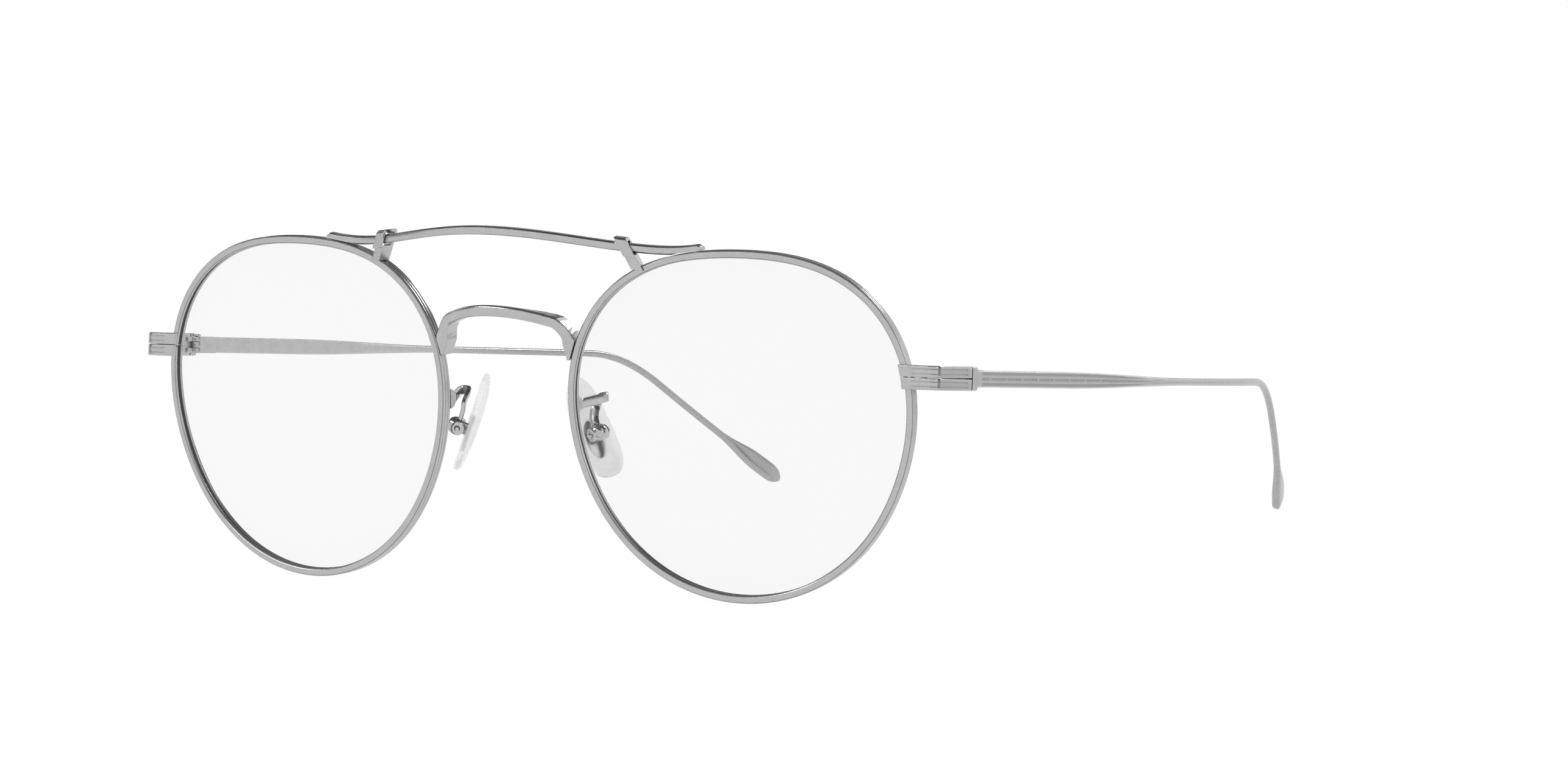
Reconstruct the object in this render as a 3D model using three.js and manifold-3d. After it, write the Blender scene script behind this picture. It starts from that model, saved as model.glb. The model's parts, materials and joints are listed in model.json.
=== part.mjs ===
// Round metal spectacles with a brow bar, drawn piece by piece, in millimetres, +Z up.
// The wearer's left is +X, the front faces -Y and the temples run back along +Y.

import * as THREE from 'three';
import { mergeVertices } from 'three/addons/utils/BufferGeometryUtils.js';
import Module from 'manifold-3d';

const wasm = await Module();
wasm.setup();

const DEG = Math.PI / 180;

// Lenses and rims
const LENS_WIDTH = 51;
const LENS_HEIGHT = 47.8;
const LENS_GAP = 21.8; // between the two lenses at their nearest
const LENS_THICKNESS = 1.4;
const LENS_RADIUS = 420; // both lens faces and the rims follow this sphere
const WRAP = 6.8 * DEG; // each rim turns back this much towards its temple
const OVAL = 0.031; // shares by which the lens edge leaves a circle
const EGG = 0.033;
const SOFT_CORNER = -0.012;
const RIM_FACE = 1.1; // rim wire seen from the front
const RIM_DEPTH = 1.65;
const RIM_WALL = 0.45; // metal between the lens groove and the outside
const RIM_CHAMFER = 0.2;
const RIM_LINE_DEPTH = 0.1; // two fine lines run round the outside of a rim
const RIM_LINE_WIDTH = 0.2;
const RIM_SPLIT = 0.15; // the rim is cut here and closed by a screw
const GROOVE_MOUTH = 0.9;
const GROOVE_FLOOR = 0.26;
const LENS_FIT = 0.1; // air between lens and groove

// Brow bar and its two clips
const BROW_ANGLE = 103.5 * DEG; // where the bar ends on a rim
const BROW_RISE = 26.1; // middle of the bar above the lens centres
const BROW_FORWARD = 6.1; // middle of the bar in front of the lens centres
const BROW_LIFT = 0.35; // middle of each end above the rim's top, which is ground into it
const BROW_HEIGHT = 1.2;
const BROW_DEPTH = 1.3;
const BROW_END_SLOPE = 0.18;
const BROW_END_SWEEP = -0.05;
const BROW_END_CUT = 0.45; // slanted top corner of each end
const CLIP_ANGLE = 124.6 * DEG; // where a clip stands on a rim
const CLIP_LEAN = 34 * DEG;
const CLIP_WIDTH = 1.75;
const CLIP_THICKNESS = 0.5;
const CLIP_EYE = 0.35; // open space over and under the bar inside a clip

// Bridge
const BRIDGE_RISE = 14.8; // middle of the bridge above the lens centres
const BRIDGE_FORWARD = 5.4;
const BRIDGE_HEIGHT = 1.55;
const BRIDGE_DEPTH = 1.15;
const BRIDGE_HALF = 7.3; // half the width of the arch, up to its shoulders
const BRIDGE_FALL = 1.2; // the arch drops this much to its shoulders
const SHOULDER_FORWARD = 1.8; // the shoulders stand this far in front of the legs
const LEG_TOP = 157.3 * DEG; // the legs lie on the rims between these angles
const LEG_BOTTOM = 163 * DEG;
const LEG_TOP_WIDTH = 2.2;
const LEG_TIP_WIDTH = 0.4;
const LEG_DEPTH = 2.7;

// Endpieces and hinges
const ENDPIECE_ANGLE = 14.9 * DEG; // height of the rim split, as an angle round the lens
const ENDPIECE_OUT = 4.4; // outer face beyond the rim
const ENDPIECE_BACK = 9.3; // temple joint behind the rim's front
const ENDPIECE_HEIGHT = 3.3;
const ENDPIECE_WALL = 1.1;
const ENDPIECE_CORNER = 1.5;
const ENDPIECE_BEVEL = 0.09;
const BLOCK_INSET = 0.35; // closing block ends this far in front of the rim's back
const SPLIT_GAP = 0.07;
const CLOSING_SCREW_RADIUS = 0.42;
const CLOSING_HEAD_RADIUS = 0.6;
const CLOSING_HEAD_HEIGHT = 0.45;
const CLOSING_BACK = 0.3; // closing screw behind the rim's front
const TILT = 7.1 * DEG; // temples slope down from the front by this much
const JOINT_GAP = 0.26; // line between endpiece and temple
const KNUCKLE_RADIUS = 0.85;
const KNUCKLE_GAP = 0.2;
const KNUCKLE_PLAY = 0.08; // between neighbouring knuckles
const LEAF_THICKNESS = 0.7;
const LEAF_LENGTH = 4.2;
const LEAF_HEIGHT = 2.4;
const MIDDLE_KNUCKLE = 0.84;
const PIN_RADIUS = 0.34;
const PIN_PLAY = 0.06;
const PIN_HEAD_RADIUS = 0.62;
const PIN_HEAD_HEIGHT = 0.3;

// Temples
const TEMPLE_HEIGHT = 2.3;
const TEMPLE_THICKNESS = 1.05;
const WIRE_DIAMETER = 1.08;
const COLLAR_LENGTH = 1.4;
const COLLAR_FILLET = 0.6;
const TAPER_START = 28; // the flat strip thins to a wire between these
const TAPER_END = 66;
const HEAD_START = 53; // from here the wire follows the head
const HEAD_RADIUS = 174;
const EAR_START = 100; // the wire begins to drop behind the ear
const EAR_BEND = 14;
const EAR_SLOPE = 0.654;
const EAR_DROP = 23;
const PADDLE_LENGTH = 11; // measured along the head, as EAR_DROP is
const PADDLE_WIDTH = 2.9;
const PADDLE_THICKNESS = 1.5;
const PADDLE_TWIST = 15 * DEG;

// Nose pads and what carries them
const PAD_HEIGHT = 14.8;
const PAD_WIDTH = 6;
const PAD_THICKNESS = 1.4;
const PAD_TAPER = 0.16; // narrower at the top
const PAD_SQUARE = 2.7; // 2 is an oval, more is squarer
const PAD_BEND = 0.5; // ends curl away from the nose
const PAD_SLANT = 23 * DEG;
const PAD_SPLAY = 26.9 * DEG;
const PAD_OUT = 1.3; // pad screw beyond the rim's nose side
const PAD_BACK = 5.5; // pad screw behind the rim's front
const PAD_DROP = 2.9; // pad screw below the lens centres
const PAD_ABOVE_SCREW = 1.1;
const PAD_BEHIND_SCREW = 0.6;
const PAD_TO_SCREW = 2.1;
const LUG_TAB = 0.8; // thickness of the tab on the pad screw
const LUG_RADIUS = 0.8;
const LUG_PLATE = 0.4;
const LUG_WIDTH = 2.6;
const LUG_HEIGHT = 5.6;
const LUG_FIT = 0.1;
const BOX_CHEEK = 0.75;
const BOX_RADIUS = 1;
const BOX_DOME = 0.4; // the dome's centre behind the screw
const PAD_SCREW_RADIUS = 0.34;
const PAD_SCREW_HEAD = 0.55;
const PAD_SCREW_HEAD_LENGTH = 0.35;
const ARM_ANGLE = 176.6 * DEG; // where an arm leaves its rim
const ARM_HEIGHT = 1.3;
const ARM_THICKNESS = 0.6;
const ARM_FOOT = 2.8;
const ARM_FOOT_LENGTH = 1.1;
const ARM_REACH = 7.1; // from the middle of the rim to the turn
const ARM_OUT = 1.5; // the arm leans away from the nose up to the turn
const ARM_RISE = 0.45; // and climbs by this much
const ARM_TURN = 0.55; // radius of the turn towards the nose

const SEAT_GAP = 0.08; // solder line between pieces that are brazed together

// Steps round the curved pieces
const RIM_STEPS = 64;
const BAR_STEPS = 40;
const BRIDGE_STEPS = 44;
const ROUND_STEPS = 16;
const PAD_STEPS = 28;

// Materials
const satinSilver = { color: 0xb4b5b7, metalness: 1, roughness: 0.38 };
const polishedSilver = { color: 0xc4c5c7, metalness: 1, roughness: 0.18 };
const clearLens = { color: 0xf4f6f7, metalness: 0, roughness: 0.05, transparent: true, opacity: 0.15 };
const milkySilicone = { color: 0xe9ebea, metalness: 0, roughness: 0.25, transparent: true, opacity: 0.6 };

// Closed meshes, joins and cuts

function signedVolume(geometry) {
  const place = geometry.getAttribute('position');
  const index = geometry.getIndex();
  const corners = [new THREE.Vector3(), new THREE.Vector3(), new THREE.Vector3()];
  let volume = 0;
  for (let i = 0; i < index.count; i += 3) {
    corners.forEach((corner, k) => corner.fromBufferAttribute(place, index.getX(i + k)));
    volume += corners[0].dot(corners[1].clone().cross(corners[2])) / 6;
  }
  return volume;
}

// Keep positions only, share equal points and turn the faces outwards.
function closed(geometry) {
  geometry.deleteAttribute('normal');
  geometry.deleteAttribute('uv');
  const merged = mergeVertices(geometry, 1e-4);
  if (signedVolume(merged) < 0) {
    merged.getIndex().array.reverse();
  }
  return merged;
}

function toSolid(geometry) {
  const mesh = closed(geometry.clone());
  return new wasm.Manifold(new wasm.Mesh({
    numProp: 3,
    vertProperties: new Float32Array(mesh.getAttribute('position').array),
    triVerts: new Uint32Array(mesh.getIndex().array),
  }));
}

function toGeometry(solid) {
  const mesh = solid.getMesh();
  const geometry = new THREE.BufferGeometry();
  geometry.setAttribute('position', new THREE.BufferAttribute(new Float32Array(mesh.vertProperties), 3));
  geometry.setIndex(new THREE.BufferAttribute(new Uint32Array(mesh.triVerts), 1));
  return geometry;
}

function joined(first, ...others) {
  const whole = others.reduce((solid, other) => solid.add(toSolid(other)), toSolid(first));
  return toGeometry(whole);
}

function cut(geometry, ...tools) {
  const rest = tools.reduce((solid, tool) => solid.subtract(toSolid(tool)), toSolid(geometry));
  return toGeometry(rest);
}

function mirrored(geometry) {
  return closed(geometry.clone().scale(-1, 1, 1));
}

// Skin a row of rings. With an end profile the row is closed by flat ends, without one it joins itself.
function loft(rings, endProfile = null) {
  const size = rings[0].length;
  const triangles = [];
  const spans = endProfile ? rings.length - 1 : rings.length;
  for (let i = 0; i < spans; i++) {
    const here = i * size;
    const next = ((i + 1) % rings.length) * size;
    for (let j = 0; j < size; j++) {
      const k = (j + 1) % size;
      triangles.push(here + j, next + j, next + k, here + j, next + k, here + k);
    }
  }
  if (endProfile) {
    const last = (rings.length - 1) * size;
    const reverse = THREE.ShapeUtils.isClockWise(endProfile);
    for (const face of THREE.ShapeUtils.triangulateShape(endProfile, [])) {
      const [a, b, c] = reverse ? [...face].reverse() : face;
      triangles.push(a, b, c, last + c, last + b, last + a);
    }
  }
  const geometry = new THREE.BufferGeometry().setFromPoints(rings.flat());
  geometry.setIndex(triangles);
  return closed(geometry);
}

// Rectangle with cut corners, in its own plane.
function cutRectangle(width, height, corner) {
  const w = width / 2;
  const h = height / 2;
  return [
    [w, corner - h], [w, h - corner], [w - corner, h], [corner - w, h],
    [-w, h - corner], [-w, corner - h], [corner - w, -h], [w - corner, -h],
  ].map(([x, y]) => new THREE.Vector2(x, y));
}

// Place a flat profile at a point, its x and y along two directions.
function ringAt(point, across, up, profile) {
  return profile.map(({ x, y }) => point.clone().addScaledVector(across, x).addScaledVector(up, y));
}

// Round solid on the Z axis from pairs of radius and height.
function turned(pairs) {
  const profile = pairs.map(([radius, height]) => new THREE.Vector2(radius, height));
  return closed(new THREE.LatheGeometry(profile, ROUND_STEPS).rotateX(Math.PI / 2));
}

function rod(radius, low, high) {
  return turned([[0, low], [radius, low], [radius, high], [0, high]]);
}

function box(low, high) {
  const size = new THREE.Vector3().subVectors(high, low);
  const middle = new THREE.Vector3().addVectors(low, high).multiplyScalar(0.5);
  return new THREE.BoxGeometry(size.x, size.y, size.z).translate(middle.x, middle.y, middle.z);
}

// Lens edge and the places round a rim

const RIM_OUTER = LENS_FIT + RIM_WALL; // from the lens edge to the outside of the rim
const RIM_INNER = RIM_OUTER - RIM_FACE;
const RIM_X = LENS_GAP / 2 + LENS_WIDTH / 2 * Math.cos(WRAP);
const RIM_MIDDLE = RIM_DEPTH / 2;

function edgeRadius(angle) {
  return 1 + OVAL * Math.cos(2 * angle) + EGG * Math.sin(3 * angle) + SOFT_CORNER * Math.cos(4 * angle);
}

function edgeRadiusSlope(angle) {
  const oval = -2 * OVAL * Math.sin(2 * angle);
  const egg = 3 * EGG * Math.cos(3 * angle);
  return oval + egg - 4 * SOFT_CORNER * Math.sin(4 * angle);
}

const turnSteps = Array.from({ length: 720 }, (_, i) => i * DEG / 2);
const unitAcross = turnSteps.map((angle) => edgeRadius(angle) * Math.cos(angle));
const unitUp = turnSteps.map((angle) => edgeRadius(angle) * Math.sin(angle));
const LENS_SCALE_ACROSS = LENS_WIDTH / (Math.max(...unitAcross) - Math.min(...unitAcross));
const LENS_SCALE_UP = LENS_HEIGHT / (Math.max(...unitUp) - Math.min(...unitUp));

// Point of the lens edge and its outward direction, in the plane of the lens.
function lensEdge(angle) {
  const radius = edgeRadius(angle);
  const slope = edgeRadiusSlope(angle);
  const along = new THREE.Vector2(
    LENS_SCALE_ACROSS * (slope * Math.cos(angle) - radius * Math.sin(angle)),
    LENS_SCALE_UP * (slope * Math.sin(angle) + radius * Math.cos(angle)),
  );
  return {
    point: new THREE.Vector2(
      LENS_SCALE_ACROSS * radius * Math.cos(angle),
      LENS_SCALE_UP * radius * Math.sin(angle),
    ),
    outward: new THREE.Vector2(along.y, -along.x).normalize(),
  };
}

// From the lens plane to the front of the spectacles: curved by the sphere and turned by the wrap.
function onFront(across, up, depth) {
  const back = (across * across + up * up) / (2 * LENS_RADIUS) + depth;
  return new THREE.Vector3(
    RIM_X + across * Math.cos(WRAP) - back * Math.sin(WRAP),
    across * Math.sin(WRAP) + back * Math.cos(WRAP),
    up,
  );
}

function rimPoint(angle, out, depth) {
  const { point, outward } = lensEdge(angle);
  return onFront(point.x + out * outward.x, point.y + out * outward.y, depth);
}

function rimRing(angle, profile) {
  return profile.map(({ x, y }) => rimPoint(angle, x, y));
}

// Rims and lenses

function rimProfile() {
  const lines = [1, 2].flatMap((which) => {
    const middle = which * RIM_DEPTH / 3;
    return [
      [RIM_OUTER, middle - RIM_LINE_WIDTH / 2],
      [RIM_OUTER - RIM_LINE_DEPTH, middle],
      [RIM_OUTER, middle + RIM_LINE_WIDTH / 2],
    ];
  });
  return [
    [RIM_INNER, RIM_CHAMFER],
    [RIM_INNER + RIM_CHAMFER, 0],
    [RIM_OUTER - RIM_CHAMFER, 0],
    [RIM_OUTER, RIM_CHAMFER],
    ...lines,
    [RIM_OUTER, RIM_DEPTH - RIM_CHAMFER],
    [RIM_OUTER - RIM_CHAMFER, RIM_DEPTH],
    [RIM_INNER + RIM_CHAMFER, RIM_DEPTH],
    [RIM_INNER, RIM_DEPTH - RIM_CHAMFER],
    [RIM_INNER, RIM_MIDDLE + GROOVE_MOUTH / 2],
    [LENS_FIT, RIM_MIDDLE + GROOVE_FLOOR / 2],
    [LENS_FIT, RIM_MIDDLE - GROOVE_FLOOR / 2],
    [RIM_INNER, RIM_MIDDLE - GROOVE_MOUTH / 2],
  ].map(([out, depth]) => new THREE.Vector2(out, depth));
}

// An open ring, cut through at the endpiece.
function makeRim() {
  const profile = rimProfile();
  const halfSplit = RIM_SPLIT / LENS_WIDTH;
  const rings = [];
  for (let i = 0; i <= RIM_STEPS; i++) {
    const share = i / RIM_STEPS;
    const turn = THREE.MathUtils.lerp(halfSplit, 2 * Math.PI - halfSplit, share);
    rings.push(rimRing(ENDPIECE_ANGLE + turn, profile));
  }
  return loft(rings, profile);
}

// The room that a rim and its solder line take up, for seating other pieces on it.
// It can reach further to the front and back, for pieces that touch only the outside of the rim.
function makeRimRoom(reach = 0) {
  const low = RIM_INNER - SEAT_GAP;
  const high = RIM_OUTER + SEAT_GAP;
  const front = -SEAT_GAP - reach;
  const back = RIM_DEPTH + SEAT_GAP + reach;
  const profile = [[low, front], [high, front], [high, back], [low, back]]
    .map(([out, depth]) => new THREE.Vector2(out, depth));
  const angles = Array.from({ length: RIM_STEPS }, (_, i) => ENDPIECE_ANGLE + 2 * Math.PI * i / RIM_STEPS);
  return loft(angles.map((angle) => rimRing(angle, profile)));
}

// Two shallow faces and a ridge round the edge that sits in the rim's groove.
function makeLens() {
  const wallSlope = (GROOVE_MOUTH - GROOVE_FLOOR) / 2 / (LENS_FIT - RIM_INNER);
  const wallFit = LENS_FIT * Math.hypot(1, wallSlope);
  const ridge = (out) => GROOVE_FLOOR / 2 + (LENS_FIT - out) * wallSlope - wallFit;
  const body = RIM_INNER - LENS_FIT;
  const front = RIM_MIDDLE - LENS_THICKNESS / 2;
  const back = RIM_MIDDLE + LENS_THICKNESS / 2;
  const angles = Array.from({ length: RIM_STEPS }, (_, i) => ENDPIECE_ANGLE + 2 * Math.PI * i / RIM_STEPS);
  const faceRing = (share, depth) => angles.map((angle) => {
    const { point, outward } = lensEdge(angle);
    const edge = point.clone().addScaledVector(outward, body).multiplyScalar(share);
    return onFront(edge.x, edge.y, depth);
  });
  const edgeRing = (out, depth) => angles.map((angle) => rimPoint(angle, out, depth));
  const faceShares = [0.3, 0.65, 1];
  const rings = [
    ...faceShares.map((share) => faceRing(share, front)),
    edgeRing(body, RIM_MIDDLE - ridge(body)),
    edgeRing(0, RIM_MIDDLE - ridge(0)),
    edgeRing(0, RIM_MIDDLE + ridge(0)),
    edgeRing(body, RIM_MIDDLE + ridge(body)),
    ...faceShares.toReversed().map((share) => faceRing(share, back)),
  ];
  return loft(rings, angles.map((angle) => lensEdge(angle).point));
}

// The opening inside a rim, taken through to the front.
function makeLensOpening() {
  const low = RIM_INNER - SEAT_GAP / 2;
  const angles = Array.from({ length: RIM_STEPS }, (_, i) => ENDPIECE_ANGLE + 2 * Math.PI * i / RIM_STEPS);
  const rings = [-2 * RIM_DEPTH, RIM_DEPTH].map((depth) => angles.map((angle) => rimPoint(angle, low, depth)));
  return loft(rings, angles.map((angle) => lensEdge(angle).point));
}

const lensOpening = makeLensOpening();
const leftRimRoom = makeRimRoom();
const rightRimRoom = mirrored(leftRimRoom);

// Brow bar: an arch that bows up and forward between the tops of the rims

const browSeat = rimPoint(BROW_ANGLE, RIM_OUTER, RIM_MIDDLE);
const browEnd = browSeat.clone().add(new THREE.Vector3(0, 0, BROW_LIFT));

// Even curve through the middle and the end, with a given slope at the end.
function arch(middle, end, slope, share) {
  const rise = end - middle;
  const fourth = (slope * browEnd.x - 2 * rise) / 2;
  return middle + (rise - fourth) * share ** 2 + fourth * share ** 4;
}

function browPoint(x) {
  const share = x / browEnd.x;
  return new THREE.Vector3(
    x,
    arch(-BROW_FORWARD, browEnd.y, BROW_END_SWEEP, share),
    arch(BROW_RISE, browEnd.z, BROW_END_SLOPE, share),
  );
}

// The bar's own directions: along it, back through it and up it.
function browFrame(x) {
  const step = 0.01;
  const along = browPoint(x + step).sub(browPoint(x - step)).normalize();
  const back = new THREE.Vector3(-along.y, along.x, 0).normalize();
  const up = new THREE.Vector3().crossVectors(along, back);
  return { along, back, up };
}

function makeBrowBar() {
  const corner = BROW_HEIGHT / 5;
  const profile = cutRectangle(BROW_DEPTH, BROW_HEIGHT, corner);
  const places = Array.from({ length: BAR_STEPS + 1 }, (_, i) => browEnd.x * (2 * i / BAR_STEPS - 1));
  const rings = places.map((x) => {
    const { back, up } = browFrame(x);
    return ringAt(browPoint(x), back, up, profile);
  });
  const slanted = profile.map(({ x, y }) => new THREE.Vector2(x, Math.min(y, BROW_HEIGHT / 2 - BROW_END_CUT)));
  for (const side of [-1, 1]) {
    const tip = side * (browEnd.x + BROW_END_CUT);
    const { back, up } = browFrame(tip);
    const ring = ringAt(browPoint(tip), back, up, slanted);
    rings.splice(side < 0 ? 0 : rings.length, 0, ring);
  }
  return cut(loft(rings, profile), leftRimRoom, rightRimRoom);
}

// A strap that rises from the rim behind the bar, folds over it and ends on the front of its own foot.
function makeBrowClip() {
  const foot = rimPoint(CLIP_ANGLE, RIM_OUTER, RIM_MIDDLE);
  const overFoot = browPoint(foot.x).z - foot.z;
  const centreX = foot.x - overFoot * Math.tan(CLIP_LEAN);
  const centre = browPoint(centreX);
  const { along, back, up } = browFrame(centreX);
  const lean = up.clone().multiplyScalar(Math.cos(CLIP_LEAN)).addScaledVector(along, -Math.sin(CLIP_LEAN));
  const front = -BROW_DEPTH / 2 - SEAT_GAP;
  const rear = BROW_DEPTH / 2 + SEAT_GAP;
  const halfBar = BROW_HEIGHT / 2 / Math.cos(CLIP_LEAN);
  const top = halfBar + CLIP_EYE;
  const eye = -halfBar - CLIP_EYE;
  const sole = -(centre.z - foot.z) / Math.cos(CLIP_LEAN) - RIM_FACE / 3;
  const tongueEnd = eye - CLIP_EYE;
  const round = CLIP_THICKNESS;
  const outline = new THREE.Shape();
  outline.moveTo(front - CLIP_THICKNESS, tongueEnd);
  outline.lineTo(front, tongueEnd);
  outline.lineTo(front, sole);
  outline.lineTo(rear + CLIP_THICKNESS, sole);
  outline.lineTo(rear + CLIP_THICKNESS, top + CLIP_THICKNESS - round);
  outline.absarc(rear + CLIP_THICKNESS - round, top + CLIP_THICKNESS - round, round, 0, Math.PI / 2);
  outline.absarc(front - CLIP_THICKNESS + round, top + CLIP_THICKNESS - round, round, Math.PI / 2, Math.PI);
  const hole = new THREE.Path();
  hole.moveTo(front, eye);
  hole.lineTo(front, top);
  hole.lineTo(rear, top);
  hole.lineTo(rear, eye);
  outline.holes.push(hole);
  const clip = new THREE.ExtrudeGeometry(outline, { depth: CLIP_WIDTH, bevelEnabled: false, curveSegments: 4 });
  clip.translate(0, 0, -CLIP_WIDTH / 2);
  clip.applyMatrix4(new THREE.Matrix4().makeBasis(back, lean, along).setPosition(centre));
  return cut(clip, leftRimRoom);
}

// Bridge: a saddle whose legs lie along the nose sides of the rims

function makeBridge() {
  const legTop = rimPoint(LEG_TOP, RIM_OUTER + LEG_TOP_WIDTH / 2, LEG_DEPTH / 2);
  const legTip = rimPoint(LEG_BOTTOM, RIM_OUTER + LEG_TIP_WIDTH / 2, LEG_DEPTH / 2);
  const shoulderY = legTop.y - SHOULDER_FORWARD;
  const archPoint = (share) => new THREE.Vector3(
    BRIDGE_HALF * share,
    THREE.MathUtils.lerp(-BRIDGE_FORWARD, shoulderY, share ** 2),
    BRIDGE_RISE - BRIDGE_FALL * share ** 2,
  );
  const shoulder = archPoint(1);
  const corner = new THREE.Vector3(
    THREE.MathUtils.lerp(shoulder.x, legTop.x, 0.53),
    THREE.MathUtils.lerp(shoulder.y, legTop.y, 0.55),
    THREE.MathUtils.lerp(shoulder.z, legTop.z, 0.24),
  );
  const half = [archPoint(0.35), archPoint(0.7), shoulder, corner, legTop, legTip];
  const flip = (point) => new THREE.Vector3(-point.x, point.y, point.z);
  const route = new THREE.CatmullRomCurve3([...half.toReversed().map(flip), archPoint(0), ...half]);
  const straightBack = new THREE.Vector3(0, 1, 0);
  const profiles = [];
  const rings = [];
  for (let i = 0; i <= BRIDGE_STEPS; i++) {
    const share = i / BRIDGE_STEPS;
    const point = route.getPointAt(share);
    const along = route.getTangentAt(share);
    const up = new THREE.Vector3().crossVectors(along, straightBack).normalize();
    const back = new THREE.Vector3().crossVectors(up, along);
    const fromMiddle = Math.abs(2 * share - 1);
    const toShoulder = THREE.MathUtils.smoothstep(fromMiddle, 0.2, 0.7);
    const toLeg = THREE.MathUtils.smoothstep(fromMiddle, 0.74, 0.86);
    const toTip = THREE.MathUtils.clamp((fromMiddle - 0.86) / 0.14, 0, 1);
    const legWidth = THREE.MathUtils.lerp(LEG_TOP_WIDTH, LEG_TIP_WIDTH, toTip);
    const height = THREE.MathUtils.lerp(BRIDGE_HEIGHT, legWidth, toLeg);
    const depth = THREE.MathUtils.lerp(BRIDGE_DEPTH, LEG_DEPTH, toShoulder);
    const profile = cutRectangle(depth, height, Math.min(BRIDGE_DEPTH, height) / 5);
    profiles.push(profile);
    rings.push(ringAt(point, back, up, profile));
  }
  const besideRim = makeRimRoom(LEG_DEPTH);
  return cut(loft(rings, profiles[0]), besideRim, mirrored(besideRim));
}

// Endpieces, hinges and temples are drawn in a frame at the temple joint: x out, y back, z up

const rimSeat = rimPoint(ENDPIECE_ANGLE, RIM_OUTER, 0);
const hingeFrame = new THREE.Matrix4().makeRotationX(-TILT).setPosition(
  rimSeat.x + ENDPIECE_OUT,
  rimSeat.y + ENDPIECE_BACK,
  rimSeat.z - ENDPIECE_BACK * Math.tan(TILT),
);
const seatY = -ENDPIECE_BACK / Math.cos(TILT);
const closingX = -(ENDPIECE_OUT + ENDPIECE_WALL) / 2 + ENDPIECE_WALL / 3;
const closingY = seatY + CLOSING_BACK;

function endpieceOutline() {
  const inner = -ENDPIECE_OUT - 2 * RIM_FACE;
  const face = seatY - ENDPIECE_WALL;
  const cornerY = face - inner * Math.tan(WRAP);
  const blockBack = seatY + RIM_DEPTH - BLOCK_INSET;
  const shape = new THREE.Shape();
  shape.moveTo(inner, face);
  shape.lineTo(-ENDPIECE_CORNER, cornerY - ENDPIECE_CORNER * Math.tan(WRAP));
  shape.quadraticCurveTo(0, cornerY, 0, cornerY + ENDPIECE_CORNER);
  shape.lineTo(0, -JOINT_GAP / 2);
  shape.lineTo(-ENDPIECE_WALL, -JOINT_GAP / 2);
  shape.lineTo(-ENDPIECE_WALL, blockBack + ENDPIECE_WALL);
  shape.lineTo(-2 * ENDPIECE_WALL, blockBack);
  shape.lineTo(-ENDPIECE_OUT - RIM_FACE / 2, blockBack);
  shape.lineTo(-ENDPIECE_OUT - RIM_FACE / 2, seatY);
  shape.lineTo(inner, seatY);
  return shape;
}

function screwHole(low, high, radius) {
  return rod(radius, low, high).translate(closingX, closingY, 0);
}

// One half of the endpiece, above or below the cut through rim and block.
function makeEndpiece(upper) {
  const half = ENDPIECE_HEIGHT / 2;
  const bevel = ENDPIECE_BEVEL;
  const thickness = half - SPLIT_GAP / 2;
  const block = new THREE.ExtrudeGeometry(endpieceOutline(), {
    depth: thickness - 2 * bevel,
    bevelSize: bevel,
    bevelOffset: -bevel,
    bevelThickness: bevel,
    bevelSegments: 1,
    curveSegments: 5,
  });
  block.translate(0, 0, bevel + (upper ? SPLIT_GAP / 2 : -half));
  const room = joined(leftRimRoom, lensOpening).applyMatrix4(hingeFrame.clone().invert());
  const hole = CLOSING_SCREW_RADIUS + PIN_PLAY;
  if (upper) {
    return cut(block, room, screwHole(-half, half - ENDPIECE_WALL / 2, hole));
  }
  const head = CLOSING_HEAD_RADIUS + PIN_PLAY;
  const shoulder = CLOSING_HEAD_HEIGHT + PIN_PLAY - half;
  return cut(block, room, screwHole(-half, half, hole), screwHole(-2 * half, shoulder, head));
}

function makeClosingScrew() {
  const low = -ENDPIECE_HEIGHT / 2;
  const neck = low + CLOSING_HEAD_HEIGHT;
  const end = ENDPIECE_HEIGHT / 2 - ENDPIECE_WALL / 2 - PIN_PLAY;
  return turned([
    [0, low], [CLOSING_HEAD_RADIUS, low], [CLOSING_HEAD_RADIUS, neck],
    [CLOSING_SCREW_RADIUS, neck], [CLOSING_SCREW_RADIUS, end], [0, end],
  ]).translate(closingX, closingY, 0);
}

const axisX = -ENDPIECE_WALL - KNUCKLE_RADIUS - KNUCKLE_GAP;
const leafOuter = -ENDPIECE_WALL - SEAT_GAP;
const leafInner = leafOuter - LEAF_THICKNESS;
const pinHeadLow = LEAF_HEIGHT / 2 + SEAT_GAP;

// Plate on the inner side with its knuckles on the hinge axis; side is -1 in front of the joint, 1 behind it.
function makeLeaf(side, layers) {
  const near = side * (KNUCKLE_RADIUS + KNUCKLE_GAP);
  const far = near + side * LEAF_LENGTH;
  const plate = box(
    new THREE.Vector3(leafInner, Math.min(near, far), -LEAF_HEIGHT / 2),
    new THREE.Vector3(leafOuter, Math.max(near, far), LEAF_HEIGHT / 2),
  );
  const knuckles = layers.flatMap(([low, high]) => [
    rod(KNUCKLE_RADIUS, low, high).translate(axisX, 0, 0),
    box(
      new THREE.Vector3(axisX, Math.min(0, 2 * near), low),
      new THREE.Vector3(leafOuter, Math.max(0, 2 * near), high),
    ),
  ]);
  const pinRoom = rod(PIN_RADIUS + PIN_PLAY, -LEAF_HEIGHT, LEAF_HEIGHT).translate(axisX, 0, 0);
  return cut(joined(plate, ...knuckles), pinRoom);
}

function makeFrontHinge() {
  const start = MIDDLE_KNUCKLE / 2 + KNUCKLE_PLAY;
  return makeLeaf(-1, [[start, LEAF_HEIGHT / 2], [-LEAF_HEIGHT / 2, -start]]);
}

function makeTempleHinge() {
  return makeLeaf(1, [[-MIDDLE_KNUCKLE / 2, MIDDLE_KNUCKLE / 2]]);
}

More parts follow.
